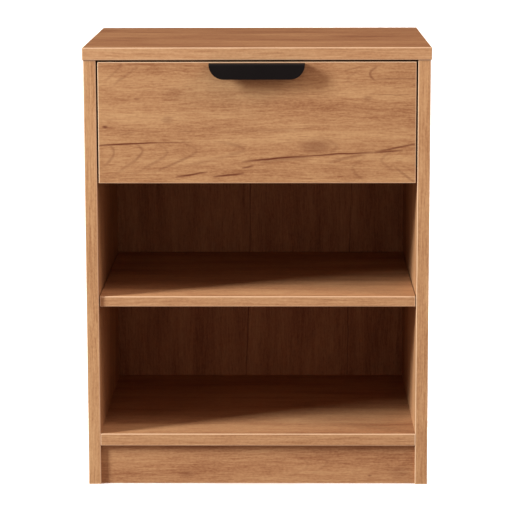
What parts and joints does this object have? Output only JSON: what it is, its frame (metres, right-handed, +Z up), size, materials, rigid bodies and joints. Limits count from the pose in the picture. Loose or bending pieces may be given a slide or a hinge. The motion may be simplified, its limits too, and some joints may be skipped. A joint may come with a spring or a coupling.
{
  "type": "nightstand",
  "caption": "Upright bedside cabinet in wood-grain board: a full-width inset drawer on roller runners above open shelves, on a recessed plinth.",
  "frame": {"origin": "centre of the bounding box's footprint at floor level, drawer pull included", "axes": "+Z up, +Y towards the back panel, +X to the right of someone facing the drawer"},
  "size_m": [0.5, 0.4154, 0.642],
  "materials": {
    "oak_laminate": "matte melamine with printed oak grain",
    "oak_edge_band": "ABS edge band with printed oak grain, rounded arrises",
    "oak_foil_hardboard": "hardboard with oak foil",
    "drawer_box_board": "matte melamine, pale wood grain",
    "beech": "turned, unfinished",
    "zinc_plated_steel": "zinc plated",
    "black_powder_coat": "fine matte powder coat",
    "runner_enamel": "smooth white epoxy coat",
    "nylon": "moulded nylon",
    "brown_plastic": "moulded polypropylene"
  },
  "bodies": {
    "root": {"top_panel": "oak_laminate", "top_panel_banding": "oak_edge_band", "side_panel_left": "oak_laminate", "side_panel_right": "oak_laminate", "side_banding_left": "zinc_plated_steel", "side_banding_right": "zinc_plated_steel", "bottom_shelf": "oak_laminate", "bottom_shelf_banding": "oak_edge_band", "adjustable_shelf": "oak_laminate", "adjustable_shelf_banding": "oak_edge_band", "plinth": "oak_laminate", "back_panel": "oak_foil_hardboard", "back_panel_nails": "zinc_plated_steel", "shelf_supports": "brown_plastic", "carcass_cam_locks": "zinc_plated_steel", "carcass_cam_bolts": "zinc_plated_steel", "carcass_dowels": "beech", "cabinet_runner_left": "runner_enamel", "cabinet_runner_right": "runner_enamel", "cabinet_runner_screws": "zinc_plated_steel", "cabinet_roller_axles": "zinc_plated_steel"},
    "drawer": {"drawer_front": "oak_laminate", "drawer_front_banding": "oak_edge_band", "drawer_side_left": "drawer_box_board", "drawer_side_right": "drawer_box_board", "drawer_back": "drawer_box_board", "drawer_box_banding": "oak_edge_band", "drawer_bottom": "oak_foil_hardboard", "drawer_cam_locks": "zinc_plated_steel", "drawer_cam_bolts": "zinc_plated_steel", "drawer_dowels": "beech", "drawer_back_screws": "zinc_plated_steel", "drawer_pull": "black_powder_coat", "pull_screws": "zinc_plated_steel", "drawer_runner_left": "runner_enamel", "drawer_runner_right": "runner_enamel", "drawer_runner_screws": "zinc_plated_steel", "drawer_roller_axles": "zinc_plated_steel"},
    "cabinet_roller_left": {"cabinet_roller_left": "nylon"},
    "cabinet_roller_right": {"cabinet_roller_right": "nylon"},
    "drawer_roller_left": {"drawer_roller_left": "nylon"},
    "drawer_roller_right": {"drawer_roller_right": "nylon"}
  },
  "joints": [
    {"name": "drawer_slide", "type": "slide", "parent": "root", "child": "drawer", "axis": [0, -1, 0], "range_m": [0, 0.25]},
    {"name": "cabinet_roller_left_spin", "type": "hinge", "parent": "root", "child": "cabinet_roller_left", "pos_m": [-0.2245, -0.15675, 0.4803], "axis": [1, 0, 0], "continuous": true},
    {"name": "cabinet_roller_right_spin", "type": "hinge", "parent": "root", "child": "cabinet_roller_right", "pos_m": [0.2245, -0.15675, 0.4803], "axis": [1, 0, 0], "continuous": true},
    {"name": "drawer_roller_left_spin", "type": "hinge", "parent": "drawer", "child": "drawer_roller_left", "pos_m": [-0.224, 0.16325, 0.4798], "axis": [1, 0, 0], "continuous": true},
    {"name": "drawer_roller_right_spin", "type": "hinge", "parent": "drawer", "child": "drawer_roller_right", "pos_m": [0.224, 0.16325, 0.4798], "axis": [1, 0, 0], "continuous": true}
  ],
  "couplings": [
    {"joint": "cabinet_roller_left_spin", "follows": "drawer_slide", "rad_per_m": 90.909},
    {"joint": "cabinet_roller_right_spin", "follows": "drawer_slide", "rad_per_m": 90.909},
    {"joint": "drawer_roller_left_spin", "follows": "drawer_slide", "rad_per_m": 90.909},
    {"joint": "drawer_roller_right_spin", "follows": "drawer_slide", "rad_per_m": 90.909}
  ]
}
